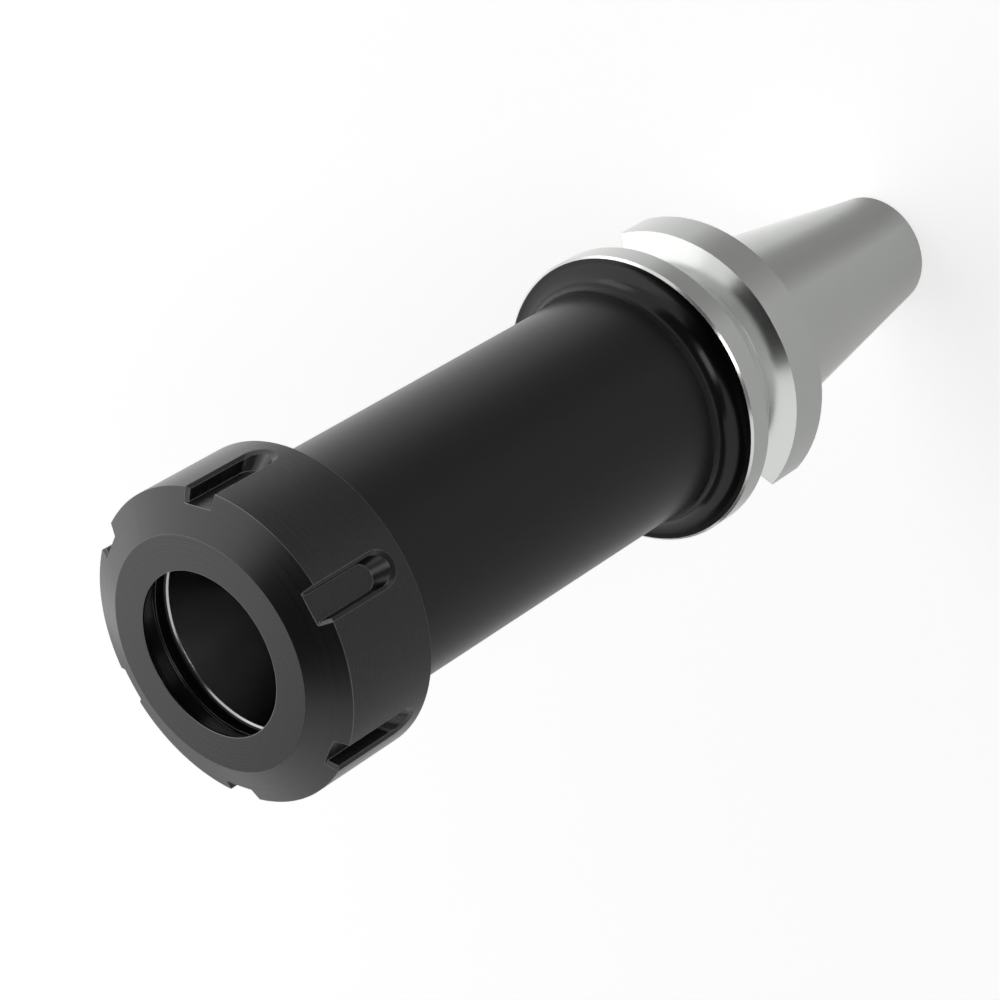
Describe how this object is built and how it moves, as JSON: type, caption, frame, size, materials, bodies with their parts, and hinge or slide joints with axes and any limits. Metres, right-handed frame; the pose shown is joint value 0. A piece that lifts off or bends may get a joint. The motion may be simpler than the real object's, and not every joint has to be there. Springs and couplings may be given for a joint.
{
  "type": "collet chuck holder",
  "caption": "Steep-taper tool holder with a gripper flange, a long black extension tube and a slotted collet clamping nut on its threaded nose.",
  "frame": {"origin": "centre of the small end face of the taper shank, which it stands on", "axes": "+Z along the spindle axis from the small end towards the nut; +X through the middle of one drive slot"},
  "size_m": [0.063, 0.063, 0.2174],
  "materials": {
    "holder_steel": "ground and hardened steel, with the tube and the flange's front face in satin black oxide",
    "nut_black_oxide": "satin black oxide on turned steel"
  },
  "bodies": {
    "holder": {"holder_body": "holder_steel"},
    "nut": {"clamping_nut": "nut_black_oxide"}
  },
  "joints": [
    {"name": "nut_turn", "type": "hinge", "parent": "holder", "child": "nut", "pos_m": [0, 0, 0.2], "axis": [0, 0, 1], "range_deg": [0, 2880]}
  ]
}
